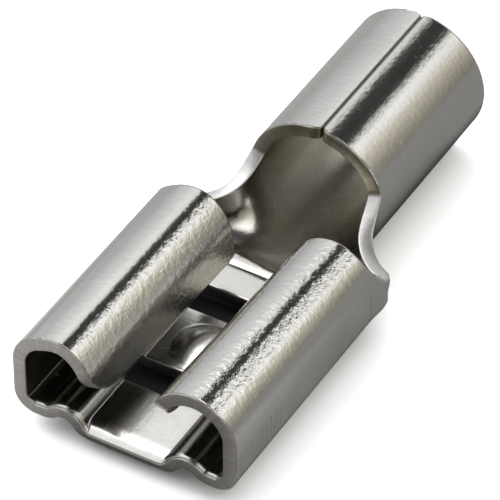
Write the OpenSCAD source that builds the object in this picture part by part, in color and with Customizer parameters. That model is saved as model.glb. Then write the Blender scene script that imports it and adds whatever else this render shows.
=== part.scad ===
// Female spade terminal, folded from one strip of tinned brass sheet.
// A flat floor with two raised ribs, two side walls rolled inward over the
// floor, an open neck, and a wire barrel closed by a butt seam on top.
// Millimetres. +Y runs from the mouth to the wire end, +X is to the right
// when looking along +Y, +Z is up. The origin is the bottom centre of the
// bounding box: halfway along, and level with the underside of the barrel.

/* [Sheet] */
// Sheet thickness
sheet = 0.45; // [0.40:0.01:0.48]

/* [Receptacle] */
// Outside width over the two side walls
receptacle_width = 7.7; // [7.5:0.05:8.1]
// Length of the rolled part, mouth to the square rear ends of the rolls
roll_length = 8.1; // [7.9:0.1:8.3]
// Straight height of the side wall between the corner bend and the roll
wall_height = 1.25; // [1.2:0.05:1.4]
// Length of the straight free lip at the end of each roll
lip_length = 0.62; // [0.5:0.02:0.7]
// Corner radius at the mouth end of each free lip
lip_corner_front = 0.85; // [0.6:0.05:0.9]
// Corner radius at the neck end of each free lip
lip_corner_rear = 0.4; // [0.2:0.05:0.5]

/* [Floor] */
// Half of the flat between the two ribs
flat_half = 1.38; // [1.3:0.02:1.45]
// Lead-in length at the mouth edge of the floor
lead_in = 0.4; // [0.2:0.05:0.5]
// Lead-in drop at the mouth edge of the floor
lead_drop = 0.1; // [0.05:0.01:0.15]
// Width of the two cross slots
slot_width = 3.5; // [2.8:0.1:3.6]
// Start of the front slot, from the mouth
slot_front = 2.35; // [2.2:0.05:2.5]
// Length of each slot along the floor
slot_length = 1.16; // [0.9:0.02:1.2]
// Length of the bridge between the two slots
bridge = 2.58; // [2.4:0.02:2.6]
// Radius of the detent dome on the bridge
dome_radius = 0.95; // [0.7:0.05:1.0]
// Height of the detent dome above the floor
dome_height = 0.32; // [0.2:0.02:0.36]

/* [Barrel] */
// Outside diameter of the wire barrel
barrel_diameter = 4.78; // [4.6:0.02:4.9]
// Length of the wire barrel
barrel_length = 6.7; // [6:0.1:7.5]
// Depth of the underside of the barrel below the underside of the floor
barrel_drop = 0.56; // [0.45:0.01:0.6]
// Gap left in the butt seam
seam_gap = 0.05; // [0.04:0.01:0.1]
// Depth of the groove along the outside of the seam
seam_groove = 0.12; // [0.05:0.01:0.15]
// Chamfer at the wire mouth, inside
mouth_chamfer = 0.2; // [0.1:0.02:0.25]

/* [Neck] */
// Length of the open neck between the rolls and the barrel
neck_length = 3.38; // [3.3:0.02:3.6]
// Height of the neck wall at its lowest point, above the underside of the floor
neck_height = 1.55; // [1.45:0.05:1.6]

/* [Hidden] */
$fn = 96;
t = sheet;
half = receptacle_width / 2;
r_out = barrel_diameter / 2;
r_in = r_out - t;
r_mid = r_out - t / 2;
axis_z = r_out - barrel_drop;
y_neck = roll_length;
y_barrel = roll_length + neck_length;
y_end = y_barrel + barrel_length;
corner = 0.5;

// A fold is a list of [radius, turn]; [length, 0] is a straight run. Radii
// are those of the middle of the sheet.
rib = [[flat_half, 0], [0.27, 52], [0.08, 0], [0.62, -88], [0.11, 0], [0.5, 36]];
function reach(s) = s[1] == 0 ? [s[0], 0] :
    [s[0] * sin(abs(s[1])), sign(s[1]) * s[0] * (1 - cos(s[1]))];
function run_x(segs, i = 0, h = 0) = i == len(segs) ? 0 :
    reach(segs[i])[0] * cos(h) - reach(segs[i])[1] * sin(h) + run_x(segs, i + 1, h + segs[i][1]);
shelf = half - t / 2 - corner - run_x(rib);
base = concat(rib, [[shelf, 0]]);
side = [[corner, 90], [wall_height, 0], [0.9, 60], [0.15, 0], [1.2, 112], [lip_length, 0]];
fold = concat(base, side);
plain_base = [[half - t / 2 - corner, 0]];

// Position and heading at a distance along a fold.
function seg_len(s) = s[1] == 0 ? s[0] : s[0] * abs(s[1]) * PI / 180;
function total(segs, i = 0) = i == len(segs) ? 0 : seg_len(segs[i]) + total(segs, i + 1);
function part_of(s, d) = s[1] == 0 ? [d, 0, 0] :
    let (a = sign(s[1]) * d / s[0] * 180 / PI)
    [s[0] * sin(abs(a)), sign(s[1]) * s[0] * (1 - cos(a)), a];
function at(segs, d, i = 0, x = 0, z = 0, h = 0) =
    let (s = segs[i], l = seg_len(s), last = i == len(segs) - 1,
         q = part_of(s, (d <= l || last) ? d : l),
         nx = x + q[0] * cos(h) - q[1] * sin(h),
         nz = z + q[0] * sin(h) + q[1] * cos(h))
    (d <= l || last) ? [nx, nz, h + q[2]] : at(segs, d - l, i + 1, nx, nz, h + q[2]);

// Distances along a fold at which its outline has a corner: both ends of a
// straight run, and every few degrees round a bend.
function steps(s, i) = s[1] == 0 ? 1 : ceil(abs(s[1]) / (i < len(base) + 1 ? 15 : 10));
function marks(segs, i = 0, d = 0) = i == len(segs) ? [] :
    let (n = steps(segs[i], i), l = seg_len(segs[i]))
    concat([for (k = [1:n]) d + l * k / n], marks(segs, i + 1, d + l));
function outline(segs, off) = [for (d = concat([0], marks(segs)))
    let (q = at(segs, d)) [q[0] - off * sin(q[2]), t / 2 + q[1] + off * cos(q[2])]];
function back(v) = [for (i = [len(v) - 1:-1:0]) v[i]];
function flip(v) = [for (q = v) [-q[0], q[1]]];

// The whole section: a strip of constant thickness, folded on both sides.
module section() {
    low = outline(fold, -t / 2);
    top = outline(fold, t / 2);
    function tail(v) = [for (i = [1:len(v) - 1]) v[i]];
    polygon(concat(low, back(top), flip(tail(top)), back(flip(tail(low)))));
}
module along(y0, y1) {
    translate([0, y1, 0]) rotate([90, 0, 0]) linear_extrude(y1 - y0) children();
}

// The free lip: where its lower edge sits.
lip = at(fold, total(fold));
lip_z = t / 2 + lip[1];

// Rounded corner of a free lip: the block outside a quarter cylinder whose
// axis runs across the terminal.
module lip_cut(y, r, dir) {
    low = lip_z - 0.15;
    translate([0.3, 0, 0])
    difference() {
        translate([0, dir > 0 ? y - 0.5 : y - r, low])
            cube([1.9, r + 0.5, r + 0.15]);
        translate([-0.5, y + dir * r, lip_z + r])
            rotate([0, 90, 0]) cylinder(h = 3, r = r);
    }
}

module slot(y) {
    translate([-slot_width / 2, y, -0.5]) cube([slot_width, slot_length, 1.3]);
}

module receptacle() {
    difference() {
        union() {
            along(0, roll_length) section();
            detent(true);
        }
        detent(false);
        slot(slot_front);
        slot(slot_front + slot_length + bridge);
        // lead-in along the flat between the ribs
        lead(flat_half - 0.04);
        for (m = [0, 1]) mirror([m, 0, 0]) {
            lip_cut(0, lip_corner_front, 1);
            lip_cut(roll_length, lip_corner_rear, -1);
        }
    }
}
module lead(w) {
    translate([w, 0, 0]) rotate([0, -90, 0]) linear_extrude(2 * w)
        polygon([[t - lead_drop, -0.01], [t, lead_in], [t + 0.2, lead_in], [t + 0.2, -0.01]]);
}

// Detent dome pressed up from below: two concentric spheres.
dome_r = (dome_radius * dome_radius + dome_height * dome_height) / (2 * dome_height);
module detent(solid) {
    y = slot_front + slot_length + bridge / 2;
    z = t + dome_height - dome_r;
    if (solid)
        intersection() {
            translate([0, y, z]) sphere(dome_r);
            translate([-1.5, y - 1.2, t * 0.4]) cube([3, 2.4, 2]);
        }
    else
        translate([0, y, z]) sphere(dome_r - t);
}

// Neck: the middle surface blends from the receptacle section to the barrel
// circle; the sheet thickness is laid off along its normal.
floor_marks = concat([0], marks(base));
n_floor = len(floor_marks) - 1;
n_bend = 6;
n_wall = 4;
nu = n_floor + n_bend + n_wall;
nv = 11;
inset = 0.01;
floor_run = [for (i = [0:n_floor]) [i, floor_marks[i]]];
function smooth(a) = let (c = max(0, min(1, a))) c * c * (3 - 2 * c);
function ease(a) = 1 - pow(1 - max(0, min(1, a)), 2.5);
function edge_z(y) = neck_height
    + 0.9 * pow(max(0, y_neck + 1.15 - y), 2)
    + 0.25 * pow(max(0, y - y_neck - 1.3), 2);
wall_z0 = t / 2 + corner;
function wall_run(z) = z <= wall_z0 + wall_height ? z - wall_z0 :
    wall_height + 0.9 * asin(min(1, (z - wall_z0 - wall_height) / 0.9)) * PI / 180;
// c counts columns from the middle of the floor out to the top edge.
function box_at(b, c, z) =
    let (f = total(b), segs = concat(b, side),
         d = c < n_floor ? lookup(c, floor_run) / total(base) * f :
             c < n_floor + n_bend ? f + (c - n_floor) / n_bend * corner * PI / 2 :
             f + corner * PI / 2 + (c - n_floor - n_bend) / n_wall * wall_run(z),
         q = at(segs, d))
    [q[0], q[1] + t / 2];
function share(c) =
    c < n_floor ? lookup(c, floor_run) / total(base) * 0.65 :
    c < n_floor + n_bend ? 0.65 + (c - n_floor) / n_bend * 0.17 :
    0.82 + (c - n_floor - n_bend) / n_wall * 0.18;
function round_at(c, z) =
    let (p = share(c) * acos((axis_z - z) / r_mid))
    [r_mid * sin(p), axis_z - r_mid * cos(p)];
function mid(u, y) =
    let (c = abs(u), g = u < 0 ? -1 : 1, z = edge_z(y),
         k = smooth((y - y_neck) / 1.2),
         y_bend = y_neck + 0.6 + 0.5 * share(c),
         w = ease((y - y_bend) / (y_barrel - y_bend)),
         p = box_at(base, c, z) * (1 - k) + box_at(plain_base, c, z) * k,
         q = p * (1 - w) + round_at(c, z) * w)
    [g * q[0], y, q[1]];
function unit(v) = v / norm(v);
function skin(u, y, d) =
    let (e = 0.02, u0 = max(-nu, u - e), u1 = min(nu, u + e),
         y0 = max(y_neck, y - e), y1 = min(y_barrel, y + e),
         n = unit(cross(mid(u1, y) - mid(u0, y), mid(u, y1) - mid(u, y0))))
    mid(u, y) + d * n;
function u_of(i) = i - nu;
function y_of(j) = y_neck + neck_length * j / nv;
cols = 2 * nu + 1;
rows = nv + 1;
module neck() {
    under = [for (j = [0:nv], i = [0:cols - 1]) skin(u_of(i), y_of(j), t / 2 - inset)];
    over = [for (j = [0:nv], i = [0:cols - 1]) skin(u_of(i), y_of(j), inset - t / 2)];
    m = rows * cols;
    function id(i, j) = j * cols + i;
    // corners of each face run clockwise seen from outside
    sheet_faces = concat(
        [for (j = [0:nv - 1], i = [0:cols - 2], k = [0, 1])
            k == 0 ? [id(i, j), id(i + 1, j + 1), id(i + 1, j)]
                   : [id(i, j), id(i, j + 1), id(i + 1, j + 1)]],
        [for (j = [0:nv - 1], i = [0:cols - 2], k = [0, 1])
            k == 0 ? [m + id(i, j), m + id(i + 1, j), m + id(i + 1, j + 1)]
                   : [m + id(i, j), m + id(i + 1, j + 1), m + id(i, j + 1)]],
        [for (i = [0:cols - 2], k = [0, 1])
            k == 0 ? [id(i, 0), m + id(i + 1, 0), m + id(i, 0)]
                   : [id(i, 0), id(i + 1, 0), m + id(i + 1, 0)]],
        [for (i = [0:cols - 2], k = [0, 1])
            k == 0 ? [id(i, nv), m + id(i, nv), m + id(i + 1, nv)]
                   : [id(i, nv), m + id(i + 1, nv), id(i + 1, nv)]],
        [for (j = [0:nv - 1], k = [0, 1])
            k == 0 ? [id(0, j), m + id(0, j + 1), id(0, j + 1)]
                   : [id(0, j), m + id(0, j), m + id(0, j + 1)]],
        [for (j = [0:nv - 1], k = [0, 1])
            k == 0 ? [id(cols - 1, j), id(cols - 1, j + 1), m + id(cols - 1, j + 1)]
                   : [id(cols - 1, j), m + id(cols - 1, j + 1), m + id(cols - 1, j)]]);
    polyhedron(points = concat(under, over), faces = sheet_faces);
}

// Barrel: a plain tube with the butt seam on top.
module barrel() {
    translate([0, y_barrel, axis_z]) rotate([-90, 0, 0])
    difference() {
        cylinder(h = barrel_length, r = r_out);
        translate([0, 0, -1]) cylinder(h = barrel_length + 2, r = r_in);
        translate([0, 0, barrel_length - mouth_chamfer])
            cylinder(h = mouth_chamfer + 0.01, r1 = r_in, r2 = r_in + mouth_chamfer + 0.01);
        // after the turn, -Y here points up
        translate([-seam_gap / 2, -r_out - 1, -1]) cube([seam_gap, t + 1.2, barrel_length + 2]);
        translate([0, -r_out + seam_groove, -1]) linear_extrude(barrel_length + 2)
            polygon([[0, 0], [1, -1], [-1, -1]]);
        for (z = [0, barrel_length])
            translate([0, -r_out - 1, z]) rotate([-90, 0, 0])
                linear_extrude(1.4) polygon([[0, -0.22], [0.14, 0], [0, 0.22], [-0.14, 0]]);
    }
}

module terminal_body() {
    color([0.80, 0.79, 0.75])
    translate([0, -y_end / 2, barrel_drop]) {
        receptacle();
        neck();
        barrel();
    }
}

terminal_body();
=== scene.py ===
# Looks for the female spade terminal: camera, sheet-metal mesh, tin finish,
# studio light and floor. Metres throughout, in the CAD part's own frame.
import math

import bpy
import numpy as np
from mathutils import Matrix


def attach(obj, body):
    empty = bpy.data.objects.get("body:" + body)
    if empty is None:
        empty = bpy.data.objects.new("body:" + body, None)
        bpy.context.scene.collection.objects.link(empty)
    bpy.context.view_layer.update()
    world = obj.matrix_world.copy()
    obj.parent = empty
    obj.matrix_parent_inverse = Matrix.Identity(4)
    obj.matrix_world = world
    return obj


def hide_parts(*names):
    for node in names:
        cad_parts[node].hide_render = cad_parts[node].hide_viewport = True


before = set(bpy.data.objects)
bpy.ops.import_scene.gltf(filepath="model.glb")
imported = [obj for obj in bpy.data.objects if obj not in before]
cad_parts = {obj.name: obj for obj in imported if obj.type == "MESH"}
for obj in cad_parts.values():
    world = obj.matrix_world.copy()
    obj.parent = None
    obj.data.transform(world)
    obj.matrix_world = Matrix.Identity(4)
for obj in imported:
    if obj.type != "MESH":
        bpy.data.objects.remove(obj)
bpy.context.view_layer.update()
scene = bpy.context.scene
MM = 0.001

# ---------------------------------------------------------------- camera
AZ, EL = math.radians(30.35), math.radians(41.85)
right = np.array([math.cos(AZ), math.sin(AZ), 0.0])
up = np.array([-math.sin(AZ) * math.sin(EL), math.cos(AZ) * math.sin(EL), math.cos(EL)])
fwd = np.array([-math.sin(AZ) * math.cos(EL), math.cos(AZ) * math.cos(EL), -math.sin(EL)])
eye = (np.array([0.0, -1.09, 2.06]) - 0.301 * right + 0.323 * up - 128.859 * fwd) * MM
cam_data = bpy.data.cameras.new("camera")
cam_data.type = "PERSP"
cam_data.sensor_fit = "HORIZONTAL"
cam_data.sensor_width = 36.0
cam_data.lens = 302.46
cam_data.clip_start = 0.005
cam_data.clip_end = 20.0
cam_data.dof.use_dof = False
cam = bpy.data.objects.new("camera", cam_data)
scene.collection.objects.link(cam)
from mathutils import Matrix, Vector
cam.matrix_world = Matrix((
    (right[0], up[0], -fwd[0], eye[0]),
    (right[1], up[1], -fwd[1], eye[1]),
    (right[2], up[2], -fwd[2], eye[2]),
    (0, 0, 0, 1)))
scene.camera = cam

# ------------------------------------------------------- the folded sheet
# BEGIN SHEET
# Working frame, millimetres: y = 0 at the mouth, z = 0 at the underside of
# the receptacle floor. s is the distance across the fold from the middle.
T = 0.45
H = T / 2
HALF = 3.85
CORNER = 0.5
Y_NECK, Y_BAR, Y_END = 8.1, 11.48, 18.18
R_OUT = 2.39
R_MID = R_OUT - H
AXIS_Z = R_OUT - 0.56
SEAM = math.radians(2.5)


def smooth(a):
    a = np.clip(a, 0.0, 1.0)
    return a * a * (3 - 2 * a)


def reach_x(segs):
    x = h = 0.0
    for r, a in segs:
        if a == 0:
            x += r * math.cos(h)
        else:
            s, q = math.copysign(1, a), math.radians(abs(a))
            dx, dz = r * math.sin(q), s * r * (1 - math.cos(q))
            x += dx * math.cos(h) - dz * math.sin(h)
            h += s * q
    return x


def lengths(segs):
    return np.array([r if a == 0 else r * math.radians(abs(a)) for r, a in segs])


def walk(segs, d):
    """x, z at distances d along a fold that starts at the middle of the floor."""
    d = np.asarray(d, float)
    x0, z0, h, start = 0.0, H, 0.0, 0.0
    X, Z = np.zeros_like(d), np.full_like(d, H)
    L = lengths(segs)
    for i, (r, a) in enumerate(segs):
        last = i == len(segs) - 1
        m = (d >= start) & ((d <= start + L[i]) | last)
        q = d[m] - start
        if a == 0:
            X[m], Z[m] = x0 + q * math.cos(h), z0 + q * math.sin(h)
            x0, z0 = x0 + r * math.cos(h), z0 + r * math.sin(h)
        else:
            s = math.copysign(1, a)
            w = q / r
            dx, dz = r * np.sin(w), s * r * (1 - np.cos(w))
            X[m] = x0 + dx * math.cos(h) - dz * math.sin(h)
            Z[m] = z0 + dx * math.sin(h) + dz * math.cos(h)
            w = math.radians(abs(a))
            dx, dz = r * math.sin(w), s * r * (1 - math.cos(w))
            x0, z0 = x0 + dx * math.cos(h) - dz * math.sin(h), z0 + dx * math.sin(h) + dz * math.cos(h)
            h += s * w
        start += L[i]
    return X, Z


RIB = [(1.38, 0), (0.27, 52), (0.08, 0), (0.62, -88), (0.11, 0), (0.5, 36)]
SHELF = HALF - H - CORNER - reach_x(RIB)
BASE = RIB + [(SHELF, 0)]
PLAIN = [(HALF - H - CORNER, 0)]
LB = lengths(BASE)
S_FLOOR = LB.sum()
S_BEND = S_FLOOR + CORNER * math.pi / 2

# Roll profile at the mouth and at the rear end of the rolls: wall height,
# then radius and turn of the bends up to the free lip.
# The sheet folds tightest along one line of each roll (rt, at).
FRONT_L = dict(h=1.21, r1=1.01, a1=68.0, l1=0.28, r2=1.12, a2=29.0, rt=0.58, at=18.0, a2b=23.0, r3=1.5, a3=24.0, end=1.62)
FRONT_R = dict(h=1.22, r1=1.06, a1=60.0, l1=0.26, r2=1.31, a2=5.0, rt=0.60, at=18.0, a2b=47.0, r3=1.3, a3=32.0, end=1.80)
REAR_L = dict(h=1.20, r1=0.95, a1=60.0, l1=0.30, r2=1.20, a2=37.0, rt=0.58, at=18.0, a2b=21.0, r3=1.30, a3=36.0, end=1.18)
REAR_R = dict(h=1.27, r1=0.97, a1=60.0, l1=0.22, r2=1.14, a2=5.0, rt=0.60, at=18.0, a2b=59.0, r3=1.25, a3=34.0, end=1.26)


def profile(y, left):
    w = min(max(y / Y_NECK, 0.0), 1.0)
    w = w ** 0.8
    front, rear = (FRONT_L, REAR_L) if left else (FRONT_R, REAR_R)
    g = {k: front[k] * (1 - w) + rear[k] * w for k in front}
    side = [(CORNER, 90), (g["h"], 0), (g["r1"], g["a1"]), (g["l1"], 0), (g["r2"], g["a2"]), (g["rt"], g["at"]),
            (g["r2"], g["a2b"]), (g["r3"], g["a3"]), (2.0, 0)]
    return side, g


def lip_distance(segs, z_end):
    """Distance at which the fold comes down to z_end on its last run."""
    L = lengths(segs)
    d = np.linspace(L[:-3].sum(), L.sum(), 400)
    X, Z = walk(segs, d)
    k = np.argmax(Z < z_end)
    return d[k]


def spread(marks):
    out = [0.0]
    for a, b, n in marks:
        out += list(a + (b - a) * np.arange(1, n + 1) / n)
    return np.array(out)


# Columns of the floor, by distance s: same for every row.
edges = np.concatenate([[0], np.cumsum(LB)])
COL_FLOOR = spread([(edges[0], edges[1], 14), (edges[1], edges[2], 5), (edges[2], edges[3], 1),
                    (edges[3], edges[4], 9), (edges[4], edges[5], 1), (edges[5], edges[6], 4), (edges[6], edges[7], 7)])
NF = len(COL_FLOOR) - 1
NB = 9                      # columns round the corner bend
NW = 14                     # columns up the wall, shared by receptacle and neck
NR = 58                     # columns of the roll beyond the neck's edge
NC = 30                     # columns of the barrel crown beyond the neck's edge
K = NF + NB + NW            # the neck's top edge


def edge_z(y):
    """Height of the neck's top edge, at the middle of the sheet."""
    return 1.52 + 0.9 * np.maximum(0, Y_NECK + 1.12 - y) ** 2 + 0.24 * np.maximum(0, y - Y_NECK - 1.35) ** 2


def half_row(y, left):
    """Distances s of the K + NR + 1 columns at y, and the fold's segments there."""
    side, g = profile(y, left)
    segs = BASE + side
    L = lengths(segs)
    wall0 = S_BEND
    wall1 = wall0 + g["h"]
    z_top = edge_z(Y_NECK)
    rise = z_top - (H + CORNER + g["h"])
    kd = wall1 + g["r1"] * math.asin(min(1.0, rise / g["r1"]))
    full = lip_distance(segs, g["end"])
    cut = 0.0
    if y < 1.15:
        cut = (0.95 if left else 1.22) * (1 - math.sqrt(max(0.0, 1 - ((1.15 - y) / 1.15) ** 2)))
    if y > Y_NECK - 0.42:
        q = (y - (Y_NECK - 0.42)) / 0.42
        cut = max(cut, 0.42 * (1 - math.sqrt(max(0.0, 1 - q * q))))
    end = full - cut
    s = np.concatenate([
        COL_FLOOR,
        S_FLOOR + (S_BEND - S_FLOOR) * np.arange(1, NB + 1) / NB,
        S_BEND + (kd - S_BEND) * np.arange(1, NW + 1) / NW,
        kd + (end - kd) * np.arange(1, NR + 1) / NR])
    return s, segs


def dome(x, y):
    """Height that the detent dome adds, with a soft foot."""
    r = np.hypot(x - 0.0, y - 4.72) / 1.02
    cap = 0.27 * (1 - r ** 2)
    return 0.5 * (cap + np.sqrt(cap * cap + 0.03 ** 2))


def sag(x, y):
    """The floor bows down a little at the mouth, and its lip turns down as a
    lead-in for the tab."""
    bow = 0.035 * np.exp(-(y / 1.6) ** 2) * np.exp(-(x / 1.5) ** 4)
    reach = 0.50 - 0.06 * np.clip(x / 1.4, -1, 1)
    lip = 0.15 * np.clip((1.62 - abs(x)) / 0.3, 0, 1) * np.clip(1 - y / reach, 0, 1) ** 1.5
    return -bow - lip


def receptacle_row(y, left):
    s, segs = half_row(y, left)
    x, z = walk(segs, s)
    flat = s < edges[1] * 1.15
    z = z + sag(-x if left else x, y) * (s < S_FLOOR)
    z = z + np.where(flat, dome(-x if left else x, y) * (np.hypot(x, y - 4.72) < 1.3), 0)
    return s, x, z


def share(j):
    j = np.asarray(j, float)
    fl = np.interp(j, np.arange(NF + 1), COL_FLOOR) / S_FLOOR * 0.66
    return np.where(j <= NF, fl, np.where(j <= NF + NB, 0.66 + (j - NF) / NB * 0.16, 0.82 + (j - NF - NB) / NW * 0.18))


def neck_row(y, left):
    j = np.arange(K + 1)
    side, g = profile(Y_NECK, left)
    ze = float(edge_z(y))
    s8, segs8 = half_row(Y_NECK, left)
    s8 = s8[:K + 1]
    ztop = H + CORNER + g["h"]
    run = ze - H - CORNER if ze <= ztop else g["h"] + g["r1"] * math.asin(min(1.0, (ze - ztop) / g["r1"]))
    s = s8.copy()
    m = j > NF + NB
    s[m] = S_BEND + run * (j[m] - NF - NB) / NW
    k = float(smooth((y - Y_NECK - 0.05) / 1.15))
    xb, zb = walk(BASE + side, s)
    plain = PLAIN + side
    sp = np.where(s <= S_FLOOR, s / S_FLOOR * PLAIN[0][0], s - S_FLOOR + PLAIN[0][0])
    xp, zp = walk(plain, sp)
    x, z = xb * (1 - k) + xp * k, zb * (1 - k) + zp * k
    sh = share(j)
    y0 = Y_NECK + 0.62 + 0.52 * sh
    q = np.clip((y - y0) / (Y_BAR - y0), 0, 1)
    w = 1 - (1 - q) ** (2.5 + 0.3 * (sh - 0.5))
    w = w * smooth(q / 0.12 + 0.15)
    ang = sh * math.acos((AXIS_Z - ze) / R_MID)
    xr, zr = R_MID * np.sin(ang), AXIS_Z - R_MID * np.cos(ang)
    # a set line across the floor where the barrel's bend begins
    line = 0.055 * np.exp(-((y - 8.47) / 0.11) ** 2) * np.clip((2.3 - s) / 0.5, 0, 1)
    return s, x * (1 - w) + xr * w, z * (1 - w) + zr * w - line


PHI_K = math.acos((AXIS_Z - float(edge_z(Y_BAR))) / R_MID)


def barrel_angles(left):
    gap = 0.028 / R_MID / 2
    end = math.pi + (SEAM if left else -SEAM) - gap
    lo = share(np.arange(K + 1)) * PHI_K
    crown = PHI_K + (end - PHI_K) * np.sin(np.pi / 2 * np.arange(1, NC + 1) / NC) ** 1.0
    return np.concatenate([lo, crown]), end


ROWS_R = np.unique(np.round(np.concatenate([
    [0, 0.03, 0.07, 0.12, 0.18, 0.25, 0.33, 0.42, 0.52],
    np.arange(0.62, 2.3, 0.1), [2.35], np.linspace(2.35, 3.5, 11), np.linspace(3.5, 6.07, 24),
    np.linspace(6.07, 7.23, 11), np.arange(7.32, 7.75, 0.1), [7.74, 7.82, 7.9, 7.97, 8.03, 8.07, 8.1]]), 4))
ROWS_N = np.concatenate([np.linspace(Y_NECK, 8.96, 20)[1:], np.linspace(8.96, Y_BAR, 29)[1:]])
ROWS_B = np.concatenate([Y_BAR + np.array([0.04, 0.09, 0.15, 0.22, 0.3, 0.4, 0.52]), np.linspace(Y_BAR + 0.66, Y_END - 0.66, 34),
                         Y_END - np.array([0.52, 0.4, 0.3, 0.22, 0.15, 0.09, 0.04, 0.0])])


def build_mid():
    """The middle surface: points, (s, y) of each, quads, and what each point belongs to."""
    P, UV, Q = [], [], []
    ids = {}

    def add(key, x, y, z, s):
        ids[key] = len(P)
        P.append((x, y, z))
        UV.append((s, y))

    for left in (False, True):
        g = -1 if left else 1
        for i, y in enumerate(ROWS_R):
            s, x, z = receptacle_row(float(y), left)
            for j in range(len(s)):
                if left and j == 0:
                    continue
                add(("r", i, g * j), g * x[j], float(y), z[j], g * s[j])
        for i, y in enumerate(ROWS_N):
            s, x, z = neck_row(float(y), left)
            for j in range(K + 1):
                if left and j == 0:
                    continue
                add(("n", i + 1, g * j), g * x[j], float(y), z[j], g * s[j])
        ang, end = barrel_angles(left)
        for i, y in enumerate(np.concatenate([[Y_BAR], ROWS_B])):
            for j in range(len(ang)):
                if (left and j == 0) or (i == 0 and j <= K):
                    continue
                d = (end - ang[j]) * R_MID
                r0 = 0.34
                n0 = r0 - math.sqrt(max(0, r0 * r0 - max(0, r0 - d) ** 2)) if d < r0 else 0.0
                fade0 = max(0.0, 1 - (y - Y_BAR) / 0.66)
                fade1 = max(0.0, 1 - (Y_END - y) / 0.66)
                yy = y + (n0 * 0.75) * fade0 - n0 * 0.55 * fade1
                add(("b", i, g * j), g * R_MID * math.sin(ang[j]), float(yy), AXIS_Z - R_MID * math.cos(ang[j]), g * ang[j] * R_MID)

    def vid(kind, i, j):
        if kind == "n" and i == 0:
            return ids[("r", len(ROWS_R) - 1, j)]
        if kind == "b" and i == 0 and abs(j) <= K:
            return ids[("n", len(ROWS_N), j)]
        return ids[(kind, i, j)]

    slot_half = 1.75
    col = np.concatenate([[0], COL_FLOOR[1:]])
    jslot = int(np.argmin(abs(COL_FLOOR - slot_half)))
    slots = ((2.35, 3.5), (6.07, 7.23))
    lastr = len(ROWS_R) - 1
    for i in range(lastr):
        ym = 0.5 * (ROWS_R[i] + ROWS_R[i + 1])
        for j in range(-(K + NR), K + NR):
            jm = max(abs(j), abs(j + 1))
            if jm <= jslot and any(a < ym < b for a, b in slots):
                continue
            Q.append((vid("r", i, j), vid("r", i, j + 1), vid("r", i + 1, j + 1), vid("r", i + 1, j)))
    for i in range(len(ROWS_N)):
        for j in range(-K, K):
            Q.append((vid("n", i, j), vid("n", i, j + 1), vid("n", i + 1, j + 1), vid("n", i + 1, j)))
    for i in range(len(ROWS_B)):
        for j in range(-(K + NC), K + NC):
            Q.append((vid("b", i, j), vid("b", i, j + 1), vid("b", i + 1, j + 1), vid("b", i + 1, j)))
    P = np.array(P)
    # round the slots' corners
    for a, b in slots:
        ia, ib = int(np.argmin(abs(ROWS_R - a))), int(np.argmin(abs(ROWS_R - b)))
        for g in (-1, 1):
            for ic, di in ((ia, 1), (ib, -1)):
                c = ids[("r", ic, g * jslot)]
                inner = ids[("r", ic + di, g * (jslot - 1))]
                P[c] += 0.35 * (P[inner] - P[c])
    Q = np.array(Q)
    used = np.unique(Q)
    new = np.full(len(P), -1)
    new[used] = np.arange(len(used))
    return P[used], np.array(UV)[used], new[Q], jslot


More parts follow.
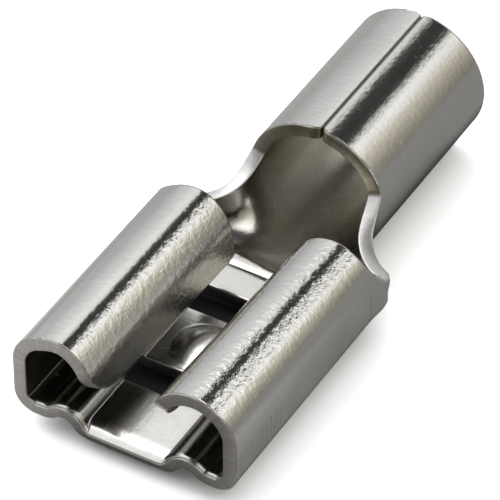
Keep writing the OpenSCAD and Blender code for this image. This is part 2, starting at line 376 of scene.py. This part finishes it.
def shell(P, UV, Q):
    """Closed solid of the sheet: two skins and a rounded rim. Returns points,
    faces, face kind (0 outer, 1 inner, 2 cut edge) and (s, y) per point."""
    n = np.zeros_like(P)
    a, b, c, d = (P[Q[:, k]] for k in range(4))
    fn = np.cross(c - a, d - b)
    for k in range(4):
        np.add.at(n, Q[:, k], fn)
    n /= np.linalg.norm(n, axis=1)[:, None]          # points up / inward
    # boundary edges
    half = {}
    for q in Q:
        for k in range(4):
            half[(q[k], q[(k + 1) % 4])] = True
    bnd = [e for e in half if (e[1], e[0]) not in half]
    T_out = np.zeros_like(P)
    cnt = {}
    for u, v in bnd:
        e = P[v] - P[u]
        e /= max(np.linalg.norm(e), 1e-12)
        m = n[u] + n[v]
        m /= np.linalg.norm(m)
        o = np.cross(e, m)
        o /= np.linalg.norm(o)
        for w in (u, v):
            cnt.setdefault(w, []).append(o)
    bv = np.array(sorted(cnt))
    for w in bv:
        o = np.sum(cnt[w], axis=0)
        L = np.linalg.norm(o)
        o = o / max(L, 1e-9)
        cosv = max(0.55, float(np.dot(o, cnt[w][0])))
        T_out[w] = o / cosv
    s, y = UV[:, 0], UV[:, 1]
    x = abs(P[:, 0])
    # lead-in: the top of the floor falls towards the mouth
    lead = 0.27 - 0.05 * np.clip(P[:, 0] / 1.4, -1, 1) + 0.035 * np.sin(P[:, 0] * 7.0 + 1)
    mid = np.clip((1.5 - x) / 0.1, 0, 1) * (P[:, 2] < 1.0)
    drop = 0.07 * mid * np.clip(1 - y / lead, 0, 1) ** 1.1
    rim = np.clip((3.3 - x) / 0.1, 0, 1) * (P[:, 2] < 1.2)
    drop = np.maximum(drop, 0.085 * rim * (1 - mid) * np.clip(1 - y / 0.15, 0, 1))
    hi = H - drop
    lo = np.full(len(P), H)
    # rounding of the sheared edges: larger along the seam, on the outside
    r_lo = np.full(len(P), 0.045)
    r_hi = np.full(len(P), 0.045)
    seam = (P[:, 1] > Y_BAR - 0.1) & (P[:, 2] > AXIS_Z + R_MID * 0.96)
    r_lo[seam] = 0.055
    wire = P[:, 1] > Y_END - 0.01
    r_hi[wire] = 0.12
    r_lo[wire] = 0.06
    N = len(P)
    isb = np.zeros(N, bool)
    isb[bv] = True
    top = P + n * hi[:, None]
    bot = P - n * lo[:, None]
    top[bv] -= T_out[bv] * r_hi[bv, None]
    bot[bv] -= T_out[bv] * r_lo[bv, None]
    # rings of the rim for each boundary point, from the top skin to the bottom
    rings = []
    for ang in (0.35, 0.7, 1.05):
        w = ang / 1.4 * math.pi / 2
        rings.append(P[bv] - T_out[bv] * (r_hi[bv] * (1 - math.sin(w)))[:, None] + n[bv] * (hi[bv] - r_hi[bv] * (1 - math.cos(w)))[:, None])
    rings.append(P[bv] + n[bv] * (hi[bv] - r_hi[bv])[:, None])
    rings.append(P[bv] + n[bv] * ((hi[bv] - r_hi[bv] - lo[bv] + r_lo[bv]) / 2)[:, None])
    rings.append(P[bv] - n[bv] * (lo[bv] - r_lo[bv])[:, None])
    for ang in (1.05, 0.7, 0.35):
        w = ang / 1.4 * math.pi / 2
        rings.append(P[bv] - T_out[bv] * (r_lo[bv] * (1 - math.sin(w)))[:, None] - n[bv] * (lo[bv] - r_lo[bv] * (1 - math.cos(w)))[:, None])
    pos = {w: k for k, w in enumerate(bv)}
    pts = [top, bot] + rings
    V = np.concatenate(pts)
    UVs = np.concatenate([UV, UV] + [UV[bv]] * len(rings))
    F, kind = [], []
    for q in Q:
        F.append((q[0], q[1], q[2], q[3])); kind.append(1)
        F.append((N + q[3], N + q[2], N + q[1], N + q[0])); kind.append(0)
    nb = len(bv)
    chain = [lambda w: w] + [(lambda w, k=k: 2 * N + k * nb + pos[w]) for k in range(len(rings))] + [lambda w: N + w]
    for u, v in bnd:
        for k in range(len(chain) - 1):
            F.append((chain[k](v), chain[k](u), chain[k + 1](u), chain[k + 1](v)))
            kind.append(2 if 0 < k < len(chain) - 2 else 3)
    return V, F, np.array(kind), UVs, N, isb
# END SHEET


P, UV, Q, JSLOT = build_mid()
V, F, KIND, UVS, NMID, ISB = shell(P, UV, Q)
# to the part's own frame, in metres
V = (V + np.array([0.0, -Y_END / 2, 0.56])) * MM

mesh = bpy.data.meshes.new("terminal_sheet")
mesh.from_pydata([tuple(v) for v in V], [], F)
mesh.update()
for poly in mesh.polygons:
    poly.use_smooth = True
uv = mesh.uv_layers.new(name="sheet")
loop_vert = np.zeros(len(mesh.loops), np.int32)
mesh.loops.foreach_get("vertex_index", loop_vert)
flat_uv = (UVS[loop_vert] * 0.02 + 0.5).astype(np.float32)   # 50 mm across
uv.data.foreach_set("uv", flat_uv.ravel())
body = bpy.data.objects.new("terminal_sheet", mesh)
scene.collection.objects.link(body)

# Masks kept on the mesh: bent (how much the sheet was stretched by a bend),
# edge (nearness to a cut edge), inner (which skin).
nv = len(mesh.vertices)
bent = np.zeros(nv, np.float32)
sa, ya = abs(UVS[:, 0]), UVS[:, 1]
xs = V[:, 0] / MM
roll_zone = (sa > S_BEND + 0.5) & (ya < Y_NECK + 0.01)
crest = np.where(xs < 0, smooth((xs + 2.15) / 0.35), smooth((xs - 2.15) / 0.35))
crest = np.where(xs < 0, crest * (1 - 0.8 * smooth((xs + 1.35) / 0.5)), crest * (1 - 0.8 * smooth((xs - 3.25) / 0.4)))
bent[roll_zone] = (0.16 + 0.84 * crest)[roll_zone]
bent[(ya > Y_BAR)] = 0.16
bent[(ya > Y_NECK + 0.01) & (ya <= Y_BAR)] = 0.15
bent[:NMID] *= 0.4
attr = mesh.attributes.new("bent", "FLOAT", "POINT")
attr.data.foreach_set("value", bent)
near = np.zeros(nv, np.float32)
near[:NMID][ISB] = 1.0
near[NMID:2 * NMID][ISB] = 1.0
near[2 * NMID:] = 1.0
attr = mesh.attributes.new("edge", "FLOAT", "POINT")
attr.data.foreach_set("value", near)
inner = np.zeros(nv, np.float32)
inner[:NMID] = 1.0
attr = mesh.attributes.new("inner", "FLOAT", "POINT")
attr.data.foreach_set("value", inner)
# painted shade: the inner skin is painted darker towards and inside the barrel, and the rolls' outer skin is painted
# darker where it turns under (set below)
painted_shade = np.zeros(nv, np.float32)
painted_shade[:NMID] = (0.25 * smooth((ya[:NMID] - 8.3) / 0.7) + 0.75 * smooth((ya[:NMID] - 10.4) / 1.6))
# painted shade: the closed channels and the crook of the neck are painted near-black
painted_recess_shade = np.zeros(nv, np.float32)
painted_recess_shade[:NMID] = 0.50 * smooth((sa[:NMID] - 1.36) / 0.14) * smooth((Y_NECK + 0.25 - ya[:NMID]) / 0.4)
painted_recess_shade[:NMID] = np.maximum(painted_recess_shade[:NMID], 0.85 * smooth((sa[:NMID] - S_FLOOR + 0.35) / 0.5) * smooth((ya[:NMID] - 7.9) / 0.3) * smooth((10.9 - ya[:NMID]) / 1.0))
attr = mesh.attributes.new("painted_recess_shade", "FLOAT", "POINT")
attr.data.foreach_set("value", painted_recess_shade)
neck = ((ya > Y_NECK - 0.35) & (ya < Y_BAR - 0.02)).astype(np.float32)
attr = mesh.attributes.new("neck", "FLOAT", "POINT")
attr.data.foreach_set("value", neck)
tube = smooth((ya - Y_BAR + 0.2) / 0.5).astype(np.float32)
tube[:NMID] *= 0.15
attr = mesh.attributes.new("tube", "FLOAT", "POINT")
attr.data.foreach_set("value", tube)
attr = mesh.attributes.new("painted_shade", "FLOAT", "POINT")
nrm = np.zeros(nv * 3, np.float32)
mesh.vertex_normals.foreach_get("vector", nrm)
nrm = nrm.reshape(-1, 3)
# painted shade on the rolls' outer skin where its normal leans more than 60 degrees from up, towards the lip
lean = np.degrees(np.arctan2(np.where(xs < 0, nrm[:, 0], -nrm[:, 0]), nrm[:, 2]))
shade = 0.85 * smooth((lean - 60) / 26) * (sa > S_BEND + 0.5) * (ya < Y_NECK + 0.01)
painted_shade[NMID:2 * NMID] = shade[NMID:2 * NMID]
attr.data.foreach_set("value", painted_shade)
brown = ((ya > Y_BAR - 0.02) & (ya < Y_BAR + 1.0)).astype(np.float32)
attr = mesh.attributes.new("brown", "FLOAT", "POINT")
attr.data.foreach_set("value", brown)
soft = np.zeros(nv, np.float32)
soft[:NMID] = 1 - smooth((ya[:NMID] - 8.0) / 0.5)
attr = mesh.attributes.new("soft", "FLOAT", "POINT")
attr.data.foreach_set("value", soft)
wall = ((sa > S_BEND - 0.1) & (ya < Y_NECK)) * smooth((S_BEND + 1.25 - sa) / 0.5) * (0.35 + 0.65 * smooth((4.6 - ya) / 3.0))
attr = mesh.attributes.new("wall", "FLOAT", "POINT")
attr.data.foreach_set("value", wall.astype(np.float32))


# --------------------------------------------------------------- materials
class Nodes:
    def __init__(self, tree):
        self.t = tree
        tree.nodes.clear()

    def add(self, kind, **kw):
        n = self.t.nodes.new(kind)
        for k, v in kw.items():
            if k.startswith("i_"):
                n.inputs[k[2:].replace("_", " ")].default_value = v
            else:
                setattr(n, k, v)
        return n

    def link(self, a, b):
        self.t.links.new(a, b)

    def math(self, op, a, b=None, c=None, clamp=False):
        n = self.t.nodes.new("ShaderNodeMath")
        n.operation = op
        n.use_clamp = clamp
        for k, v in enumerate((a, b, c)):
            if v is None:
                continue
            if hasattr(v, "is_output"):
                self.link(v, n.inputs[k])
            else:
                n.inputs[k].default_value = v
        return n.outputs[0]

    def ramp(self, fac, stops, mode="LINEAR"):
        n = self.t.nodes.new("ShaderNodeValToRGB")
        n.color_ramp.interpolation = mode
        e = n.color_ramp.elements
        while len(e) > 1:
            e.remove(e[-1])
        e[0].position, e[0].color = stops[0][0], tuple(stops[0][1]) + (1,)
        for p, col in stops[1:]:
            k = e.new(p)
            k.color = tuple(col) + (1,)
        self.link(fac, n.inputs[0])
        return n.outputs[0]

    def noise(self, vec, scale, detail=3.0, rough=0.55, distortion=0.0):
        n = self.t.nodes.new("ShaderNodeTexNoise")
        n.inputs["Scale"].default_value = scale
        n.inputs["Detail"].default_value = detail
        n.inputs["Roughness"].default_value = rough
        n.inputs["Distortion"].default_value = distortion
        self.link(vec, n.inputs["Vector"])
        return n.outputs["Fac"]

    def scaled(self, vec, sx, sy, sz=1.0):
        n = self.t.nodes.new("ShaderNodeMapping")
        n.inputs["Scale"].default_value = (sx, sy, sz)
        self.link(vec, n.inputs["Vector"])
        return n.outputs[0]


def g3(v):
    return (v, v, v)


def tin_material():
    m = bpy.data.materials.new("tinned_brass")
    m.use_nodes = True
    n = Nodes(m.node_tree)
    out = n.add("ShaderNodeOutputMaterial")
    bsdf = n.add("ShaderNodeBsdfPrincipled")
    n.link(bsdf.outputs[0], out.inputs[0])
    bsdf.inputs["Metallic"].default_value = 1.0
    uvn = n.add("ShaderNodeUVMap", uv_map="sheet")
    base = n.scaled(uvn.outputs[0], 50.0, 50.0)          # millimetres on the flat sheet
    bent = n.add("ShaderNodeAttribute", attribute_name="bent").outputs["Fac"]
    inner = n.add("ShaderNodeAttribute", attribute_name="inner").outputs["Fac"]

    cloud = n.noise(base, 0.55, 3.0, 0.6)
    cloud2 = n.noise(base, 2.3, 4.0, 0.6, 0.4)
    tone = n.math("MULTIPLY_ADD", cloud2, 0.35, n.math("MULTIPLY", cloud, 0.65))
    col = n.ramp(tone, [(0.25, (0.60, 0.585, 0.54)), (0.5, (0.645, 0.635, 0.60)), (0.75, (0.68, 0.672, 0.645))])
    # painted shade: this darker tone is mixed in by the mask below, inside the barrel and on the rolls' undersides
    painted_shade_col = n.ramp(tone, [(0.25, (0.49, 0.465, 0.41)), (0.75, (0.63, 0.60, 0.54))])
    painted_shade = n.add("ShaderNodeAttribute", attribute_name="painted_shade").outputs["Fac"]
    mix = n.add("ShaderNodeMix", data_type="RGBA")
    n.link(painted_shade, mix.inputs[0])
    n.link(col, mix.inputs[6])
    n.link(painted_shade_col, mix.inputs[7])
    # handling scuffs: short thin lines, kept sparse
    tube = n.add("ShaderNodeAttribute", attribute_name="tube").outputs["Fac"]
    soft = n.add("ShaderNodeAttribute", attribute_name="soft").outputs["Fac"]
    wall = n.add("ShaderNodeAttribute", attribute_name="wall").outputs["Fac"]
    thread = n.noise(n.scaled(base, 0.9, 1.6), 1.0, 1.0, 0.4, 0.3)
    thin = n.math("SUBTRACT", 1.0, n.math("MULTIPLY", n.math("ABSOLUTE", n.math("SUBTRACT", thread, 0.5)), 150.0, clamp=True), clamp=True)
    place = n.math("MULTIPLY", n.math("SUBTRACT", n.noise(base, 0.8, 2.0, 0.5), 0.56), 14.0, clamp=True)
    scuff = n.math("MULTIPLY", n.math("MULTIPLY", thin, place), n.math("SUBTRACT", 1.0, painted_shade, clamp=True))
    # painted shade: the channels and the neck's crook are mixed towards near-black
    painted_recess_shade = n.add("ShaderNodeAttribute", attribute_name="painted_recess_shade").outputs["Fac"]
    dark = n.add("ShaderNodeMix", data_type="RGBA")
    n.link(painted_recess_shade, dark.inputs[0])
    n.link(mix.outputs[2], dark.inputs[6])
    dark.inputs[7].default_value = (0.055, 0.058, 0.050, 1)
    lit = n.add("ShaderNodeMix", data_type="RGBA")
    n.link(n.math("MULTIPLY", scuff, 0.55), lit.inputs[0])
    n.link(dark.outputs[2], lit.inputs[6])
    lit.inputs[7].default_value = (0.86, 0.86, 0.85, 1)
    n.link(lit.outputs[2], bsdf.inputs["Base Color"])

    streak = n.noise(n.scaled(base, 9.0, 0.55), 1.0, 3.0, 0.6)
    fine = n.noise(n.scaled(base, 1.0, 1.0), 15.0, 3.0, 0.6, 0.2)
    rough = n.math("MULTIPLY_ADD", streak, 0.09, n.math("MULTIPLY_ADD", fine, 0.07, 0.07))
    rough = n.math("MULTIPLY_ADD", painted_shade, 0.16, rough)
    rough = n.math("MULTIPLY_ADD", soft, 0.06, rough)
    rough = n.math("MULTIPLY_ADD", scuff, 0.12, rough)
    n.link(rough, bsdf.inputs["Roughness"])

    # grain: the orange peel that bending raises, in small closed lumps
    warp = n.noise(base, 5.0, 2.0, 0.5)
    grain = n.noise(n.scaled(base, 1.0, 0.8), 8.5, 2.0, 0.5, 0.6)
    patch = n.math("MULTIPLY_ADD", n.math("MULTIPLY", n.math("SUBTRACT", n.noise(base, 1.7, 3.0, 0.6), 0.40), 5.0, clamp=True), 0.7, 0.3)
    grain_h = n.math("MULTIPLY", n.math("SUBTRACT", grain, 0.5), n.math("MULTIPLY", patch, n.math("MULTIPLY_ADD", bent, 0.93, 0.07)))
    pits = n.noise(base, 21.0, 2.0, 0.5)
    grain_h = n.math("ADD", grain_h, n.math("MULTIPLY", n.math("SUBTRACT", pits, 0.5), n.math("MULTIPLY", bent, 0.34)))
    lump = n.math("MULTIPLY", n.math("SUBTRACT", warp, 0.5), n.math("MULTIPLY_ADD", bent, 0.8, 0.2))
    b1 = n.add("ShaderNodeBump")
    b1.inputs["Strength"].default_value = 1.0
    b1.inputs["Distance"].default_value = 0.000015
    n.link(grain_h, b1.inputs["Height"])
    b2 = n.add("ShaderNodeBump")
    b2.inputs["Strength"].default_value = 1.0
    b2.inputs["Distance"].default_value = 0.00002
    n.link(lump, b2.inputs["Height"])
    n.link(b1.outputs[0], b2.inputs["Normal"])
    b3 = n.add("ShaderNodeBump")
    b3.inputs["Strength"].default_value = 1.0
    b3.inputs["Distance"].default_value = 0.0000022
    n.link(streak, b3.inputs["Height"])
    n.link(b2.outputs[0], b3.inputs["Normal"])
    # forming marks that run across the barrel, and drag lines up the walls
    across = n.noise(n.scaled(base, 1.3, 7.5), 1.0, 3.0, 0.6)
    b4 = n.add("ShaderNodeBump")
    b4.inputs["Strength"].default_value = 1.0
    b4.inputs["Distance"].default_value = 0.0000045
    n.link(n.math("MULTIPLY", across, tube), b4.inputs["Height"])
    n.link(b3.outputs[0], b4.inputs["Normal"])
    drag = n.noise(n.scaled(base, 0.9, 12.0), 1.0, 3.0, 0.6)
    b5 = n.add("ShaderNodeBump")
    b5.inputs["Strength"].default_value = 1.0
    b5.inputs["Distance"].default_value = 0.00005
    n.link(n.math("MULTIPLY", drag, wall), b5.inputs["Height"])
    n.link(b4.outputs[0], b5.inputs["Normal"])
    n.link(b5.outputs[0], bsdf.inputs["Normal"])
    return m


def cut_material():
    m = bpy.data.materials.new("cut_edge")
    m.use_nodes = True
    n = Nodes(m.node_tree)
    out = n.add("ShaderNodeOutputMaterial")
    bsdf = n.add("ShaderNodeBsdfPrincipled")
    n.link(bsdf.outputs[0], out.inputs[0])
    bsdf.inputs["Metallic"].default_value = 1.0
    geo = n.add("ShaderNodeTexCoord")
    mm = n.scaled(geo.outputs["Object"], 1000.0, 1000.0, 1000.0)
    uvn = n.add("ShaderNodeUVMap", uv_map="sheet")
    flat = n.scaled(uvn.outputs[0], 50.0, 50.0)
    grit = n.noise(mm, 13.0, 4.0, 0.65)
    shear = n.noise(flat, 5.0, 3.0, 0.6)
    tone = n.math("MULTIPLY_ADD", grit, 0.35, n.math("MULTIPLY", shear, 0.65))
    col = n.ramp(tone, [(0.3, (0.31, 0.295, 0.27)), (0.55, (0.44, 0.42, 0.395)), (0.75, (0.58, 0.565, 0.54))])
    brown = n.add("ShaderNodeAttribute", attribute_name="brown").outputs["Fac"]
    mix = n.add("ShaderNodeMix", data_type="RGBA")
    n.link(brown, mix.inputs[0])
    n.link(col, mix.inputs[6])
    n.link(n.ramp(tone, [(0.3, (0.20, 0.18, 0.13)), (0.7, (0.34, 0.315, 0.25))]), mix.inputs[7])
    # painted highlight: the cut edges along the neck are mixed 42% towards near-white
    neck = n.add("ShaderNodeAttribute", attribute_name="neck").outputs["Fac"]
    neck_edge_highlight = n.add("ShaderNodeMix", data_type="RGBA")
    n.link(n.math("MULTIPLY", neck, 0.42), neck_edge_highlight.inputs[0])
    n.link(mix.outputs[2], neck_edge_highlight.inputs[6])
    neck_edge_highlight.inputs[7].default_value = (0.93, 0.93, 0.92, 1)
    n.link(neck_edge_highlight.outputs[2], bsdf.inputs["Base Color"])
    rough = n.math("MULTIPLY_ADD", grit, 0.2, 0.28)
    n.link(rough, bsdf.inputs["Roughness"])
    b1 = n.add("ShaderNodeBump")
    b1.inputs["Strength"].default_value = 1.0
    b1.inputs["Distance"].default_value = 0.000012
    n.link(tone, b1.inputs["Height"])
    n.link(b1.outputs[0], bsdf.inputs["Normal"])
    return m


tin = tin_material()
cut = cut_material()
mesh.materials.append(tin)
mesh.materials.append(cut)
mesh.polygons.foreach_set("material_index", (KIND == 2).astype(np.int32))
mesh.update()
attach(body, "root")
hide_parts("terminal_body")

# ------------------------------------------------------------------- floor
fm = bpy.data.materials.new("floor")
fm.use_nodes = True
fb = fm.node_tree.nodes["Principled BSDF"]
# Painted shadow: the floor's colour is painted darker below the receptacle and the barrel, and painted darker for
# glossy rays, a painted dimmer reflection in the metal.
fn = fm.node_tree
tcf = fn.nodes.new("ShaderNodeTexCoord")
sepf = fn.nodes.new("ShaderNodeSeparateXYZ")
fn.links.new(tcf.outputs["Object"], sepf.inputs[0])


def fmath(op, a, b=None, clamp=False):
    k = fn.nodes.new("ShaderNodeMath")
    k.operation = op
    k.use_clamp = clamp
    for i, v in enumerate((a, b)):
        if v is None:
            continue
        if hasattr(v, "is_output"):
            fn.links.new(v, k.inputs[i])
        else:
            k.inputs[i].default_value = v
    return k.outputs[0]


ax = fmath("ABSOLUTE", sepf.outputs["X"])
inx = fmath("MULTIPLY", fmath("SUBTRACT", 0.0032, ax), 1 / 0.0012, True)
iny = fmath("MULTIPLY", fmath("SUBTRACT", sepf.outputs["Y"], -0.0082), 1 / 0.0012, True)
iny2 = fmath("MULTIPLY", fmath("SUBTRACT", 0.0005, sepf.outputs["Y"]), 1 / 0.002, True)
under = fmath("MULTIPLY", inx, fmath("MULTIPLY", iny, iny2))
lp = fn.nodes.new("ShaderNodeLightPath")
west = fmath("MULTIPLY", fmath("SUBTRACT", -0.0018, sepf.outputs["X"]), 1 / 0.003, True)
far = fmath("MULTIPLY", fmath("ADD", sepf.outputs["Y"], 0.004), 1 / 0.006, True)
painted_reflection_dim = fmath("MULTIPLY", west, fmath("SUBTRACT", fmath("MULTIPLY", far, 0.07), 0.15))
painted_reflection_dim = fmath("ADD", painted_reflection_dim, fmath("MULTIPLY", far, 0.06))
painted_reflection_dim = fmath("ADD", fmath("ADD", painted_reflection_dim, fmath("MULTIPLY", inx, 0.08)), 0.66)
# painted reflection: glossy rays see a darker floor than camera rays do
tone_f = fmath("SUBTRACT", 0.86, fmath("MULTIPLY", lp.outputs["Is Glossy Ray"], painted_reflection_dim))
# painted shadow: under the part the floor's colour drops almost to black
tone_f = fmath("MULTIPLY", tone_f, fmath("SUBTRACT", 1.0, fmath("MULTIPLY", under, 0.965)))
comb = fn.nodes.new("ShaderNodeCombineColor")
for k in range(3):
    fn.links.new(tone_f, comb.inputs[k])
fn.links.new(comb.outputs[0], fb.inputs["Base Color"])
fb.inputs["Roughness"].default_value = 0.9
fb.inputs["Specular IOR Level"].default_value = 0.1
bpy.ops.mesh.primitive_plane_add(size=1.6, location=(0, 0, 0))
floor = bpy.context.object
floor.name = "floor"
floor.data.materials.append(fm)
fm2 = bpy.data.materials.new("floor_board")
fm2.use_nodes = True
fm2.node_tree.nodes["Principled BSDF"].inputs["Base Color"].default_value = (0.86, 0.86, 0.86, 1)
fm2.node_tree.nodes["Principled BSDF"].inputs["Roughness"].default_value = 0.9
bpy.ops.mesh.primitive_plane_add(size=1.6, location=(0, 0, -0.0006))
board = bpy.context.object
board.name = "floor_board"
board.data.materials.append(fm2)

# ------------------------------------------------------------------- light
# A studio of long soft boxes parallel to the part, with a dark gap overhead.
world = bpy.data.worlds.new("studio")
scene.world = world
world.use_nodes = True
w = Nodes(world.node_tree)
wo = w.add("ShaderNodeOutputWorld")
bg = w.add("ShaderNodeBackground")
w.link(bg.outputs[0], wo.inputs[0])
tc = w.add("ShaderNodeTexCoord")
sep = w.add("ShaderNodeSeparateXYZ")
w.link(tc.outputs["Generated"], sep.inputs[0])
beta = w.math("ARCTAN2", sep.outputs["X"], sep.outputs["Z"])
fac = w.math("MULTIPLY_ADD", beta, 1 / (2 * math.pi), 0.5)


def stop(deg, e, tint=(1, 1, 1)):
    return ((deg + 180) / 360, tuple(e * c for c in tint))


WARM = (1.0, 0.95, 0.82)
COOL = (0.975, 0.995, 1.035)
vault = w.ramp(fac, [
    stop(-100, 0.50, COOL), stop(-85, 0.60, COOL), stop(-63, 0.80, COOL), stop(-43, 0.95, COOL), stop(-28, 1.15), stop(-13, 1.08),
    stop(-13, 0.95), stop(-8, 0.06), stop(20, 0.04), stop(24, 0.25), stop(28, 1.05), stop(35, 1.42), stop(45, 1.20),
    stop(55, 0.86, WARM), stop(66, 0.60, WARM), stop(78, 0.42, WARM), stop(92, 0.27, WARM)])
ends = w.ramp(w.math("MULTIPLY_ADD", sep.outputs["Y"], 0.5, 0.5), [
    (0.0, g3(0.7)), (0.3, g3(1.15)), (0.5, g3(1.3)), (0.66, g3(1.3)), (0.75, g3(1.15)), (0.82, g3(0.97)), (0.92, g3(0.72)), (1.0, g3(0.35))])
# a brighter panel overhead, a little to the left
across = w.math("SUBTRACT", 1.0, w.math("MULTIPLY", w.math("ABSOLUTE", w.math("ADD", beta, 0.44)), 1 / 0.62))
along = w.math("MULTIPLY", w.math("SUBTRACT", 0.38, w.math("ABSOLUTE", w.math("SUBTRACT", sep.outputs["Y"], 0.14))), 8.0, clamp=True)
panel = w.math("MULTIPLY", w.math("MULTIPLY", across, 2.0, clamp=True), along)
gain = w.math("MULTIPLY", ends, w.math("MULTIPLY_ADD", panel, 1.1, 1.0))
wm = w.add("ShaderNodeVectorMath", operation="SCALE")
w.link(vault, wm.inputs[0])
w.link(gain, wm.inputs["Scale"])
w.link(wm.outputs[0], bg.inputs["Color"])
bg.inputs["Strength"].default_value = 1.0


def area(name, loc, target, size, power, glossy=False):
    d = bpy.data.lights.new(name, "AREA")
    d.shape = "RECTANGLE"
    d.size, d.size_y = size
    d.energy = power
    o = bpy.data.objects.new(name, d)
    scene.collection.objects.link(o)
    o.location = loc
    o.rotation_euler = (Vector(target) - Vector(loc)).to_track_quat("-Z", "Y").to_euler()
    o.visible_glossy = glossy
    return o


area("top_soft", (-0.04, 0.05, 0.40), (0, 0, 0), (0.80, 0.80), 4.6)

scene.view_settings.view_transform = "Standard"
scene.view_settings.look = "None"
scene.view_settings.exposure = 0.0
scene.view_settings.gamma = 1.0
